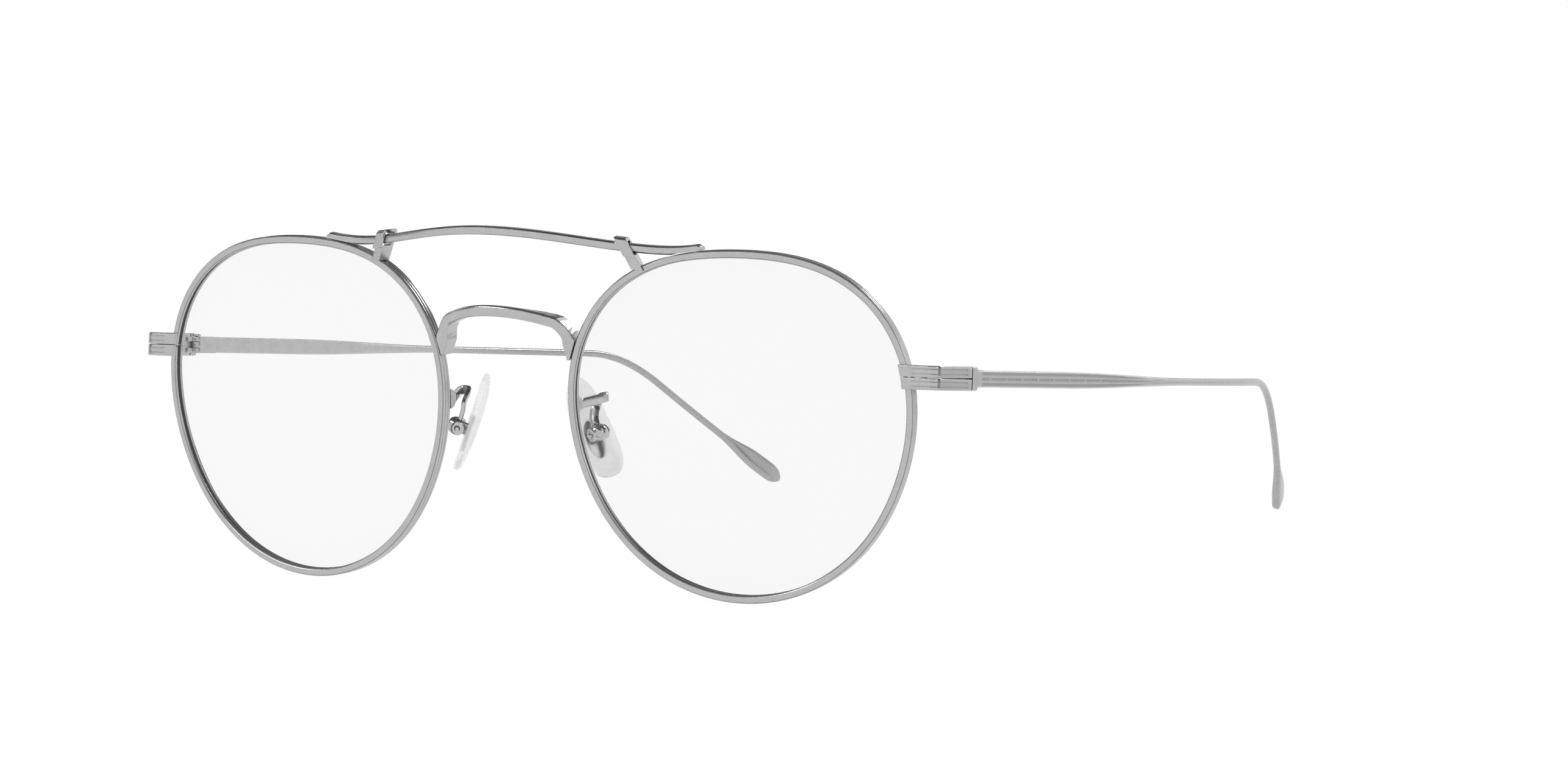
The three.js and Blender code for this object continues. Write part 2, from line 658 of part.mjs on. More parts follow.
function makeHingeScrew() {
  const low = -LEAF_HEIGHT / 2;
  const top = pinHeadLow + PIN_HEAD_HEIGHT;
  return turned([
    [0, low], [PIN_RADIUS, low], [PIN_RADIUS, pinHeadLow],
    [PIN_HEAD_RADIUS, pinHeadLow], [PIN_HEAD_RADIUS, top], [0, top],
  ]).translate(axisX, 0, 0);
}

// Middle line of a temple at a distance behind its joint.
function templePoint(y) {
  const pastHead = Math.max(0, y - HEAD_START);
  const pastEar = Math.max(0, y - EAR_START);
  const bend = Math.min(pastEar, EAR_BEND);
  const drop = EAR_SLOPE * (bend * bend / (2 * EAR_BEND) + pastEar - bend);
  return new THREE.Vector3(-ENDPIECE_WALL / 2 - pastHead ** 2 / (2 * HEAD_RADIUS), y, -drop);
}

const tipY = EAR_START + EAR_BEND + EAR_DROP;

// Height, thickness and corner of a temple's section at a distance behind its joint.
function templeSection(y) {
  const taper = THREE.MathUtils.smoothstep(y, TAPER_START, TAPER_END);
  const collarEnd = COLLAR_LENGTH + COLLAR_FILLET;
  const collar = 1 - Math.sqrt(1 - THREE.MathUtils.clamp((collarEnd - y) / COLLAR_FILLET, 0, 1) ** 2);
  const paddle = THREE.MathUtils.clamp((y - tipY + PADDLE_LENGTH) / PADDLE_LENGTH, 0, 1);
  const roundOff = Math.sqrt(1 - THREE.MathUtils.clamp((paddle - 0.84) / 0.165, 0, 1) ** 2);
  const swell = THREE.MathUtils.smoothstep(paddle, 0, 0.62);
  const strip = THREE.MathUtils.lerp(TEMPLE_HEIGHT, WIRE_DIAMETER, taper);
  const flat = THREE.MathUtils.lerp(TEMPLE_THICKNESS, WIRE_DIAMETER, taper);
  const height = THREE.MathUtils.lerp(strip, ENDPIECE_HEIGHT, collar);
  const corner = THREE.MathUtils.lerp(0.15, 1 - Math.SQRT1_2, taper) * TEMPLE_THICKNESS;
  return {
    profile: cutRectangle(
      THREE.MathUtils.lerp(flat, PADDLE_THICKNESS, swell) * roundOff,
      THREE.MathUtils.lerp(height, PADDLE_WIDTH, swell) * roundOff,
      corner * roundOff,
    ),
    twist: PADDLE_TWIST * swell,
  };
}

// Distances behind the joint at which the temple's section is drawn: closer where it changes or bends.
function templeStations() {
  const stretch = (from, to, steps) => Array.from({ length: steps }, (_, i) => from + (to - from) * i / steps);
  const paddleStart = tipY - PADDLE_LENGTH;
  return [
    JOINT_GAP / 2,
    ...stretch(COLLAR_LENGTH, COLLAR_LENGTH + COLLAR_FILLET, 3),
    ...stretch(COLLAR_LENGTH + COLLAR_FILLET, TAPER_START, 3),
    ...stretch(TAPER_START, TAPER_END, 11),
    ...stretch(TAPER_END, EAR_START, 6),
    ...stretch(EAR_START, EAR_START + EAR_BEND, 9),
    ...stretch(EAR_START + EAR_BEND, paddleStart, 3),
    ...stretch(paddleStart, tipY, 14),
    tipY,
  ];
}

function makeTemple() {
  const upright = new THREE.Vector3(0, 0, 1);
  const step = 0.01;
  const profiles = [];
  const rings = templeStations().map((y) => {
    const along = templePoint(y + step).sub(templePoint(y - step)).normalize();
    const out = new THREE.Vector3().crossVectors(along, upright).normalize();
    const up = new THREE.Vector3().crossVectors(out, along);
    const { profile, twist } = templeSection(y);
    out.applyAxisAngle(along, twist);
    up.applyAxisAngle(along, twist);
    profiles.push(profile);
    return ringAt(templePoint(y), out, up, profile);
  });
  return loft(rings, profiles[0]);
}

// Nose pads are drawn in a frame on the pad screw: x away from the nose, y back along the screw, z up the pad

const noseSide = rimPoint(Math.PI, RIM_OUTER, 0);
const padFrame = new THREE.Matrix4().makeRotationY(-PAD_SLANT)
  .multiply(new THREE.Matrix4().makeRotationZ(-PAD_SPLAY))
  .setPosition(noseSide.x + PAD_OUT, noseSide.y + PAD_BACK, -PAD_DROP);
const padBack = PAD_THICKNESS / 2 - PAD_TO_SCREW;
const cheekInner = LUG_TAB / 2 + LUG_FIT;
const cheekOuter = cheekInner + BOX_CHEEK;

// Along the screw instead of upright.
function alongScrew(geometry) {
  return geometry.rotateX(-Math.PI / 2);
}

function padOutline(scale) {
  const squarer = (value) => Math.sign(value) * Math.abs(value) ** (2 / PAD_SQUARE);
  return Array.from({ length: PAD_STEPS }, (_, i) => {
    const angle = 2 * Math.PI * i / PAD_STEPS;
    const up = squarer(Math.sin(angle));
    const width = PAD_WIDTH / 2 * (1 - PAD_TAPER * up);
    return new THREE.Vector2(scale * width * squarer(Math.cos(angle)), scale * PAD_HEIGHT / 2 * up);
  });
}

function makeNosePad() {
  const half = PAD_THICKNESS / 2;
  const levels = [[-1, 0.5], [-0.95, 0.78], [-0.75, 0.92], [-0.3, 0.99], [0.2, 1], [0.7, 0.96], [1, 0.84]];
  const rings = levels.map(([level, scale]) => padOutline(scale).map(({ x, y }) => {
    const bend = PAD_BEND * (2 * y / PAD_HEIGHT) ** 2;
    return new THREE.Vector3(level * half + bend - PAD_TO_SCREW, x + PAD_BEHIND_SCREW, y + PAD_ABOVE_SCREW);
  }));
  const pocket = lugPlate(LUG_FIT, padBack - LUG_PLATE - 2 * LUG_FIT, padBack + PAD_BEND);
  return cut(loft(rings, padOutline(1)), pocket);
}

// Oval plate of the lug, between two distances from the screw.
function lugPlate(margin, from, to) {
  const oval = new THREE.Shape();
  oval.absellipse(0, 0, LUG_HEIGHT / 2 + margin, LUG_WIDTH / 2 + margin, 0, 2 * Math.PI);
  const plate = new THREE.ExtrudeGeometry(oval, { depth: to - from, bevelEnabled: false, curveSegments: 10 });
  return plate.rotateY(Math.PI / 2).translate(from, 0, -PAD_ABOVE_SCREW / 2);
}

// Metal lug in the back of the pad, with a tab that turns on the screw.
function makePadLug() {
  const floor = padBack - LUG_PLATE - LUG_FIT;
  const plate = lugPlate(0, floor, floor + LUG_PLATE);
  const tab = alongScrew(rod(LUG_RADIUS, -LUG_TAB / 2, LUG_TAB / 2));
  const neck = box(
    new THREE.Vector3(floor + LUG_PLATE / 2, -LUG_TAB / 2, -LUG_RADIUS),
    new THREE.Vector3(0, LUG_TAB / 2, LUG_RADIUS),
  );
  const hole = alongScrew(rod(PAD_SCREW_RADIUS + PIN_PLAY, -LUG_TAB, LUG_TAB));
  return cut(joined(plate, tab, neck), hole);
}

// Outside of the pad box, larger by a margin: a drum across the screw and a dome behind it.
function boxBody(margin) {
  const drum = alongScrew(rod(BOX_RADIUS + margin, -cheekOuter - margin, cheekOuter + margin));
  const dome = new THREE.SphereGeometry(cheekOuter + margin, ROUND_STEPS, ROUND_STEPS / 2);
  return joined(drum, dome.translate(BOX_DOME, 0, 0));
}

// Domed holder with two cheeks; the lug turns between them.
function makePadBox() {
  const lugRoom = alongScrew(rod(LUG_RADIUS + LUG_FIT, -cheekInner, cheekInner));
  const mouth = box(
    new THREE.Vector3(-2 * BOX_RADIUS, -cheekInner, -2 * BOX_RADIUS),
    new THREE.Vector3(0, cheekInner, 2 * BOX_RADIUS),
  );
  const hole = alongScrew(rod(PAD_SCREW_RADIUS + PIN_PLAY, -2 * cheekOuter, 2 * cheekOuter));
  return cut(boxBody(0), lugRoom, mouth, hole);
}

function makePadScrew() {
  const headStart = cheekOuter + SEAT_GAP;
  const headEnd = headStart + PAD_SCREW_HEAD_LENGTH;
  return alongScrew(turned([
    [0, -headEnd], [PAD_SCREW_RADIUS, -headEnd], [PAD_SCREW_RADIUS, headStart],
    [PAD_SCREW_HEAD, headStart], [PAD_SCREW_HEAD, headEnd], [0, headEnd],
  ]));
}

// Flat strap from the back of the rim, turned towards the nose and down to the pad box.
function makePadArm() {
  const root = rimPoint(ARM_ANGLE, RIM_OUTER / 3, RIM_MIDDLE);
  const rimBack = rimPoint(ARM_ANGLE, RIM_OUTER / 3, RIM_DEPTH);
  const boxTop = new THREE.Vector3(0, 0, BOX_RADIUS / 2).applyMatrix4(padFrame);
  const boxAbove = new THREE.Vector3(0, 0, 2 * BOX_RADIUS).applyMatrix4(padFrame);
  const far = root.y + ARM_REACH;
  const outer = root.x + ARM_OUT;
  const inner = outer - 2 * ARM_TURN;
  const fall = root.z - boxTop.z;
  const route = new THREE.CatmullRomCurve3([
    root,
    new THREE.Vector3(root.x, rimBack.y + ARM_FOOT_LENGTH, root.z),
    new THREE.Vector3((root.x + outer) / 2, (rimBack.y + far) / 2, root.z + ARM_RISE / 2),
    new THREE.Vector3(outer, far - ARM_TURN, root.z + ARM_RISE),
    new THREE.Vector3(outer - ARM_TURN, far, root.z + ARM_RISE),
    new THREE.Vector3(inner, far - ARM_TURN, root.z + ARM_RISE / 2),
    new THREE.Vector3(inner, (far + boxTop.y) / 2 - ARM_TURN, root.z - fall / 4),
    new THREE.Vector3((inner + boxAbove.x) / 2, boxTop.y + ARM_TURN / 2, root.z - fall * 0.55),
    boxTop,
  ]);
  const steps = 36;
  const length = route.getLength();
  const along = route.getTangentAt(0);
  const up = new THREE.Vector3(0, 0, 1);
  const profiles = [];
  const rings = [];
  for (let i = 0; i <= steps; i++) {
    const next = route.getTangentAt(i / steps);
    up.applyQuaternion(new THREE.Quaternion().setFromUnitVectors(along, next));
    along.copy(next);
    const out = new THREE.Vector3().crossVectors(along, up).normalize();
    const fromRim = i / steps * length - (rimBack.y - root.y);
    const foot = 1 - THREE.MathUtils.smoothstep(fromRim, ARM_FOOT_LENGTH / 3, 1.5 * ARM_FOOT_LENGTH);
    const height = THREE.MathUtils.lerp(ARM_HEIGHT, ARM_FOOT, foot);
    const profile = cutRectangle(ARM_THICKNESS, height, ARM_THICKNESS / 5);
    profiles.push(profile);
    rings.push(ringAt(route.getPointAt(i / steps), out, up, profile));
  }
  return cut(loft(rings, profiles[0]), leftRimRoom, boxBody(SEAT_GAP).applyMatrix4(padFrame));
}

// The whole: each piece in its frame, the right side as the mirror image of the left

const spectacles = new THREE.Group();
const mirror = new THREE.Matrix4().makeScale(-1, 1, 1);

function addPiece(group, name, geometry, finish) {
  geometry.computeVertexNormals();
  const mesh = new THREE.Mesh(geometry, new THREE.MeshStandardMaterial(finish));
  mesh.name = name;
  group.add(mesh);
}

function addPairs(frame, pieces) {
  const left = new THREE.Group();
  left.applyMatrix4(frame);
  const right = new THREE.Group();
  right.applyMatrix4(mirror.clone().multiply(frame).multiply(mirror));
  for (const [name, geometry, finish] of pieces) {
    addPiece(left, `left_${name}`, geometry, finish);
    addPiece(right, `right_${name}`, mirrored(geometry), finish);
  }
  spectacles.add(left, right);
}

addPiece(spectacles, 'bridge', makeBridge(), satinSilver);
addPiece(spectacles, 'brow_bar', makeBrowBar(), satinSilver);
addPairs(new THREE.Matrix4(), [
  ['rim', makeRim(), satinSilver],
  ['lens', makeLens(), clearLens],
  ['brow_clip', makeBrowClip(), satinSilver],
  ['pad_arm', makePadArm(), polishedSilver],
]);
addPairs(hingeFrame, [
  ['endpiece_upper', makeEndpiece(true), satinSilver],
  ['endpiece_lower', makeEndpiece(false), satinSilver],
  ['closing_screw', makeClosingScrew(), polishedSilver],
  ['front_hinge', makeFrontHinge(), satinSilver],
  ['temple_hinge', makeTempleHinge(), satinSilver],
  ['hinge_screw', makeHingeScrew(), polishedSilver],
  ['temple', makeTemple(), satinSilver],
]);
addPairs(padFrame, [
  ['pad_box', makePadBox(), polishedSilver],
  ['pad_screw', makePadScrew(), polishedSilver],
  ['pad_lug', makePadLug(), polishedSilver],
  ['nose_pad', makeNosePad(), milkySilicone],
]);

// Lowest point of a piece once the whole is leaned back by an angle.
function lowest(name, lean) {
  const mesh = spectacles.getObjectByName(name);
  mesh.updateWorldMatrix(true, false);
  const place = mesh.geometry.getAttribute('position');
  const turn = new THREE.Matrix4().makeRotationX(lean).multiply(mesh.matrixWorld);
  const point = new THREE.Vector3();
  let low = Infinity;
  for (let i = 0; i < place.count; i++) {
    low = Math.min(low, point.fromBufferAttribute(place, i).applyMatrix4(turn).z);
  }
  return low;
}

// Lean the whole so that it stands on its rims and temple tips, and centre it over the origin.
function standUp() {
  let [flat, steep] = [0, 12 * DEG];
  for (let i = 0; i < 40; i++) {
    const lean = (flat + steep) / 2;
    const tipsTooLow = lowest('left_temple', lean) < lowest('left_rim', lean);
    [flat, steep] = tipsTooLow ? [lean, steep] : [flat, lean];
  }
  spectacles.rotation.x = (flat + steep) / 2;
  const bounds = new THREE.Box3().setFromObject(spectacles, true);
  spectacles.position.set(0, -(bounds.min.y + bounds.max.y) / 2, -bounds.min.z);
}

standUp();

export default spectacles;
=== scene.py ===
"""Dresses a pair of round metal spectacles in satin silver, clear lenses and milky nose pads."""

import json
import math

import bpy
from mathutils import Matrix, Vector

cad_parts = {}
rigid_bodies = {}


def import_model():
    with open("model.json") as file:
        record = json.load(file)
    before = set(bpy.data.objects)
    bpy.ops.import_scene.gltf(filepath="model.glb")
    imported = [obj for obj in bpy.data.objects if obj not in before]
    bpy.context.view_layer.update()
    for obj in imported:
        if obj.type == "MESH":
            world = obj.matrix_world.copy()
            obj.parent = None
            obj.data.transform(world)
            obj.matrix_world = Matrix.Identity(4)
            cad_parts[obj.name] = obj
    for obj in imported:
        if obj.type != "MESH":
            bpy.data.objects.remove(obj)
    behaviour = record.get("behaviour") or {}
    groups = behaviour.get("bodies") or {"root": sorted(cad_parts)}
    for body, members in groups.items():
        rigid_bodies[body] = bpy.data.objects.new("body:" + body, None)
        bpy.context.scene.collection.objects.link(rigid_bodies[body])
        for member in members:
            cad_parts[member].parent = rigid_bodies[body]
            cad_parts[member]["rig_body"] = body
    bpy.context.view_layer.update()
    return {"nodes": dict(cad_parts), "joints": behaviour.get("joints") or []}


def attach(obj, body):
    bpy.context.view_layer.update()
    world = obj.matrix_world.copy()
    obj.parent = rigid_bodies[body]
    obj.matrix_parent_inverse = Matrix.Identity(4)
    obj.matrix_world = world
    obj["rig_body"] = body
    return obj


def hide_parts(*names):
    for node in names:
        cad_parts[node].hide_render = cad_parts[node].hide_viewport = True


bl_info = {
    "name": "Round Spectacles",
    "version": (1, 0, 0),
    "blender": (4, 5, 0),
    "location": "3D View > Sidebar > Spectacles",
    "description": "Dresses the solids of round metal spectacles with fine edges, engraving and finishes",
    "category": "Object",
}

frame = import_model()

MM = 0.001
SIDES = ("left", "right")
JOINTS = {joint["name"]: joint for joint in frame["joints"]}

# Shape of the front, as the solids have it
LEAN = math.radians(2.3448)  # the whole leans back to stand on its rims and temple tips
WRAP = math.radians(6.8)  # each rim turns back towards its temple
LENS_RADIUS = 420 * MM
LENS_CENTRE = Vector((36.2206 * MM, 0, 0))
FRONT_PLACE = Vector((0, -70.128 * MM, 25.2026 * MM))
RIM_DEPTH = 1.65 * MM
RIM_CHAMFER = 0.2 * MM
RIM_LINE = RIM_DEPTH / 6  # from the middle of a rim's depth to the V-lines round its outside, darkened with painted shade
RIM_EDGE = 0.755 * MM  # from the middle of its depth to the painted dark reflections along its chamfers
GROOVE_DARK = 0.34 * MM  # from the middle of its depth to where the painted shade deep in the groove starts to fade
GROOVE_LIGHT = 0.39 * MM
LOW_START = 11 * MM  # below the centre of a rim its inner walls take painted shade between these
LOW_END = 19 * MM
INNER_WALL = -0.3  # a wall faces the lens when its normal points in by more than this

# Endpieces and temple strips, in the frame of their hinge
OUTER_FACE = 2.15 * MM  # from the hinge axis out to the endpiece's side
ENDPIECE_FACE = -9.685 * MM
ENDPIECE_CORNER = 1.5 * MM
ENDPIECE_HALF = 0.85 * MM  # middle of each half above or below the split
LINE_OFFSET = 0.33 * MM  # two engraved lines lie on each half
LINE_FACE = 2.3 * MM  # they start this far from the corner on the face
LINE_END = -1.4 * MM  # and end here on the side
CORNER_STEPS = 8
STRIP_FACE = -0.025 * MM
STRIP_HEIGHT = 2.3 * MM
WIRE = 1.08 * MM
TAPER_START = 28 * MM  # the flat strip thins to a wire between these
TAPER_END = 66 * MM
EDGES_FADE = 46 * MM  # its sharp edges fade from here
EDGES_END = 60 * MM
BAND_START = 2.8 * MM
BAND_FADE = 38 * MM  # the bands run out from here
BAND_END = 53 * MM
BAND_SPACING = 0.31  # share of the strip's height between two bands
BAND_STEPS = 15
BEAD_RISE = 0.5  # share of a bead's radius that it stands up
BEAD_CLEAR = 0.02 * MM  # beads stand this much above the strip's face

TIPS_DARK_START = -20 * MM  # along the part, the temples grow darker between these
TIPS_DARK_END = 36 * MM

SLOT_RADIUS = 0.12 * MM  # graver for the slots of the screws
HEAD_TOP = 0.05 * MM  # points this close to a screw's end belong to its head's face

# How shapes are softened
SHARP = math.radians(32)  # edges sharper than this stay sharp
CREASED = math.radians(30)
BRIDGE_ROUNDS = 24
CLIP_ROUNDS = 5
PAD_CELL = 0.08 * MM
PAD_ROUNDS = 20


class SilverSettings(bpy.types.PropertyGroup):
    """Finish of the metal."""

    satin: bpy.props.FloatVectorProperty(
        name="Satin", description="Colour of the satin metal", subtype="COLOR", default=(0.49, 0.49, 0.492)
    )
    satin_roughness: bpy.props.FloatProperty(
        name="Satin Roughness", description="Roughness of the satin metal", subtype="FACTOR", default=0.23
    )
    polished: bpy.props.FloatVectorProperty(
        name="Polished", description="Colour of the polished metal", subtype="COLOR",
        default=(0.52, 0.52, 0.522),
    )
    polished_roughness: bpy.props.FloatProperty(
        name="Polished Roughness", description="Roughness of the polished metal", subtype="FACTOR",
        default=0.13,
    )
    # Dark silver: painted shade in the rims' lines, edges and groove, and the darker tone towards the temple
    # tips
    dark_silver: bpy.props.FloatVectorProperty(
        name="Dark Silver", description="Colour of the dark silver in narrow gaps", subtype="COLOR",
        default=(0.07, 0.07, 0.071),
    )
    # Darker than the satin: painted shade in the walls of cut lines, bands and slots
    engraved: bpy.props.FloatVectorProperty(
        name="Engraved", description="Colour of the silver in engraved lines", subtype="COLOR",
        default=(0.38, 0.38, 0.382),
    )
    grain: bpy.props.FloatProperty(
        name="Grain", description="Size of the finest grain", unit="LENGTH", default=0.07 * MM
    )
    edge: bpy.props.FloatProperty(
        name="Edge", description="Radius of the broken edges", unit="LENGTH", default=0.05 * MM
    )


class LensSettings(bpy.types.PropertyGroup):
    """Finish of the lenses."""

    tint: bpy.props.FloatVectorProperty(
        name="Tint", description="Colour of the lens", subtype="COLOR", default=(0.36, 0.36, 0.36)
    )
    opacity: bpy.props.FloatProperty(
        name="Opacity", description="How much of the tint each face shows", subtype="FACTOR", default=0.055
    )


class PadSettings(bpy.types.PropertyGroup):
    """Finish of the nose pads."""

    silicone: bpy.props.FloatVectorProperty(
        name="Silicone", description="Colour of the pads", subtype="COLOR", default=(0.93, 0.935, 0.935)
    )
    opacity: bpy.props.FloatProperty(
        name="Opacity", description="How milky the pads are", subtype="FACTOR", default=0.52
    )


class EngravingSettings(bpy.types.PropertyGroup):
    """Lines and beads on the endpieces and temple strips."""

    line_radius: bpy.props.FloatProperty(
        name="Line Radius", description="Radius of the graver for the lines on the endpieces", unit="LENGTH",
        default=0.09 * MM,
    )
    band_radius: bpy.props.FloatProperty(
        name="Band Radius", description="Radius of the graver for the bands on the strips", unit="LENGTH",
        default=0.5 * MM,
    )
    depth: bpy.props.FloatProperty(
        name="Depth", description="Depth of lines and bands", unit="LENGTH", default=0.05 * MM
    )
    bead: bpy.props.FloatProperty(
        name="Bead", description="Radius of a bead", unit="LENGTH", default=0.3 * MM
    )
    pitch: bpy.props.FloatProperty(
        name="Pitch", description="Distance between beads on a strip", unit="LENGTH", default=4.6 * MM
    )


class StageSettings(bpy.types.PropertyGroup):
    """Floor, lamps and camera."""

    floor: bpy.props.FloatVectorProperty(
        name="Floor", description="Colour of the floor", subtype="COLOR", default=(0.95, 0.95, 0.95)
    )
    whiteness: bpy.props.FloatProperty(
        name="Whiteness", description="Share of the floor that shows plain white", subtype="FACTOR",
        default=0.96,
    )
    key: bpy.props.FloatProperty(
        name="Key", description="Power of the large lamp", unit="POWER", default=8.0
    )
    fill: bpy.props.FloatProperty(
        name="Fill", description="Power of the small lamp", unit="POWER", default=1.0
    )
    spark: bpy.props.FloatProperty(
        name="Spark", description="Power of the lamp behind, which sparkles on the rims", unit="POWER",
        default=2.0,
    )
    surround: bpy.props.FloatProperty(
        name="Surround", description="Light from all round on the object", default=0.75
    )
    camera_place: bpy.props.FloatVectorProperty(
        name="Camera Place", description="Where the camera stands", subtype="TRANSLATION",
        default=(0.498773, -0.833692, 0.106825),
    )
    camera_turn: bpy.props.FloatVectorProperty(
        name="Camera Turn", description="How the camera is turned", subtype="EULER",
        default=(math.radians(85.0420), math.radians(0.3139), math.radians(30.7598)),
    )
    camera_lens: bpy.props.FloatProperty(
        name="Camera Lens", description="Focal length in millimetres", subtype="DISTANCE_CAMERA",
        default=150.415,
    )


class SpectaclesSettings(bpy.types.PropertyGroup):
    """All that a user would change."""

    silver: bpy.props.PointerProperty(type=SilverSettings)
    lens: bpy.props.PointerProperty(type=LensSettings)
    pad: bpy.props.PointerProperty(type=PadSettings)
    engraving: bpy.props.PointerProperty(type=EngravingSettings)
    stage: bpy.props.PointerProperty(type=StageSettings)


class Value:
    """A number of a shader that can be used in Python sums."""

    def __init__(self, shader, socket):
        self.shader = shader
        self.socket = socket

    def math(self, operation, *others):
        inputs = [self, *others]
        made = self.shader.node("ShaderNodeMath", {"operation": operation}, dict(enumerate(inputs)))
        return Value(self.shader, made.outputs[0])

    def __add__(self, other):
        return self.math("ADD", other)

    __radd__ = __add__

    def __mul__(self, other):
        return self.math("MULTIPLY", other)

    __rmul__ = __mul__

    def __sub__(self, other):
        return self.math("SUBTRACT", other)

    def __rsub__(self, other):
        return self.math("MULTIPLY", -1) + other

    def __truediv__(self, other):
        return self.math("DIVIDE", other)

    def __abs__(self):
        return self.math("ABSOLUTE")


class Shader:
    """The nodes of one material or of the world."""

    def __init__(self, owner):
        self.owner = owner
        owner.use_nodes = True
        self.tree = owner.node_tree
        self.tree.nodes.clear()

    def node(self, kind, settings=None, inputs=None):
        """A node with its settings, and the values or links of its sockets."""
        made = self.tree.nodes.new(kind)
        for name, value in (settings or {}).items():
            setattr(made, name, value)
        for name, value in (inputs or {}).items():
            if isinstance(value, Value):
                value = value.socket
            if isinstance(value, bpy.types.NodeSocket):
                self.tree.links.new(value, made.inputs[name])
            else:
                made.inputs[name].default_value = value
        return made

    def place(self):
        return self.node("ShaderNodeTexCoord").outputs["Object"]

    def noise(self, size, detail=2.0, stretch=(1, 1, 1)):
        """Noise between 0 and 1, with marks of a given size."""
        place = self.node("ShaderNodeMapping", {}, {"Vector": self.place(), "Scale": stretch})
        inputs = {"Vector": place.outputs[0], "Scale": 1 / size, "Detail": detail}
        return Value(self, self.node("ShaderNodeTexNoise", {}, inputs).outputs["Fac"])

    def fade(self, value, start, end):
        """0 at start and 1 at end, with a soft step between them."""
        inputs = {"Value": value, "From Min": start, "From Max": end}
        made = self.node("ShaderNodeMapRange", {"interpolation_type": "SMOOTHSTEP"}, inputs)
        return Value(self, made.outputs["Result"])

    def blend(self, share, first, second):
        """A colour between two colours."""
        inputs = {0: share, 6: first, 7: second}
        return self.node("ShaderNodeMix", {"data_type": "RGBA"}, inputs).outputs[2]

    def bump(self, height, depth, strength=1.0):
        inputs = {"Height": height, "Distance": depth, "Strength": strength}
        return self.node("ShaderNodeBump", {}, inputs).outputs["Normal"]

    def surface(self, inputs):
        """Close the material with one principled surface."""
        made = self.node("ShaderNodeBsdfPrincipled", {}, inputs)
        self.node("ShaderNodeOutputMaterial", {}, {"Surface": made.outputs[0]})
        return self.owner


def new_finish(name):
    return Shader(bpy.data.materials.new(name))


def shaded(colour, share):
    """A colour made darker or lighter, as a shader takes it."""
    return (*(min(1.0, channel * share) for channel in colour), 1.0)


def silver_surface(shader, colour, roughness, grain, dark=None, dark_silver=None):
    """Metal with fine grain and slow changes of tone, and dull dark silver where a mask asks for it, such as
    painted shade on the rims.
    """
    fine = shader.fade(shader.noise(grain), 0.3, 0.7)
    slow = shader.noise(30 * grain, 3.0)
    tone = shader.blend(0.6 * fine + 0.4 * slow, shaded(colour, 0.78), shaded(colour, 1.2))
    metal = 1.0
    if dark is not None:
        tone = shader.blend(dark, tone, shaded(dark_silver, 1))
        metal = 1.0 - dark
    return shader.surface({
        "Base Color": tone,
        "Metallic": metal,
        "Specular IOR Level": 0.15,
        "Roughness": roughness - 0.09 + 0.1 * fine + 0.08 * slow,
        "Normal": shader.bump(fine, 0.1 * grain, 0.2),
    })


def satin_silver(silver):
    shader = new_finish("satin_finish")
    return silver_surface(shader, silver.satin, silver.satin_roughness, silver.grain)


def polished_silver(silver):
    shader = new_finish("polished_finish")
    return silver_surface(shader, silver.polished, silver.polished_roughness, 0.4 * silver.grain)


def engraved_silver(silver):
    # Rougher silver for the walls of cuts, darker as painted shade
    return silver_surface(new_finish("engraved_finish"), silver.engraved, 0.4, silver.grain)


def rim_place(shader):
    """Distance from the middle of a rim's depth, front or back, and height over the rim's centre."""
    split = shader.node("ShaderNodeSeparateXYZ", {}, {0: shader.place()})
    sides = {"X": abs(Value(shader, split.outputs["X"])), "Y": split.outputs["Y"], "Z": split.outputs["Z"]}
    both = shader.node("ShaderNodeCombineXYZ", {}, sides)
    turn = Matrix.Rotation(-WRAP, 3, "Z")
    move = -(turn @ (Matrix.Rotation(-LEAN, 3, "X") @ FRONT_PLACE + LENS_CENTRE))
    inputs = {"Vector": both.outputs[0], "Location": move, "Rotation": (-LEAN, 0, -WRAP)}
    moved = shader.node("ShaderNodeMapping", {}, inputs)
    flat = shader.node("ShaderNodeSeparateXYZ", {}, {0: moved.outputs[0]})
    across, back, up = (Value(shader, socket) for socket in flat.outputs)
    return abs(back - (across * across + up * up) / (2 * LENS_RADIUS) - RIM_DEPTH / 2), up


def rim_silver(silver):
    """Satin silver with painted shade in the lines round the outside of a rim and painted dark reflections
    along the edges of its faces.
    """
    shader = new_finish("rim_finish")
    middle, _ = rim_place(shader)
    lines = 0.5 - 0.5 * shader.fade(abs(middle - RIM_LINE), 0.02 * MM, 0.09 * MM)
    edges = 0.6 - 0.6 * shader.fade(abs(middle - RIM_EDGE), 0.03 * MM, 0.06 * MM)
    dark = lines + edges
    return silver_surface(shader, silver.satin, silver.satin_roughness, silver.grain, dark, silver.dark_silver)


def groove_silver(silver):
    """Satin silver with painted shade deep in the groove of a rim and all along its lowest part."""
    shader = new_finish("groove_finish")
    middle, up = rim_place(shader)
    deep = 1.0 - shader.fade(middle, GROOVE_DARK, GROOVE_LIGHT)
    dark = deep.math("MAXIMUM", shader.fade(-1 * up, LOW_START, LOW_END))
    return silver_surface(shader, silver.satin, silver.satin_roughness, silver.grain, dark, silver.dark_silver)


def temple_silver(silver):
    """Satin silver a tenth lighter than elsewhere, darker and speckled towards the tips."""
    shader = new_finish("temple_finish")
    split = shader.node("ShaderNodeSeparateXYZ", {}, {0: shader.place()})
    towards_tips = shader.fade(Value(shader, split.outputs["Y"]), TIPS_DARK_START, TIPS_DARK_END)
    speckle = shader.fade(shader.noise(3 * silver.grain, 3.0), 0.4, 0.65)
    bright = [1.1 * channel for channel in silver.satin]
    dark = towards_tips * (0.22 + 0.2 * speckle)
    return silver_surface(shader, bright, silver.satin_roughness, silver.grain, dark, silver.dark_silver)


def clear_lens(lens):
    """Clear and coated, with faint wiping marks."""
    shader = new_finish("lens_finish")
    wiped = shader.noise(5 * MM, 4.0, (1, 1, 0.3))
    return shader.surface({
        "Base Color": shaded(lens.tint, 1),
        "Roughness": 0.02 + 0.06 * wiped,
        "Alpha": lens.opacity,
        "IOR": 1.5,
    })


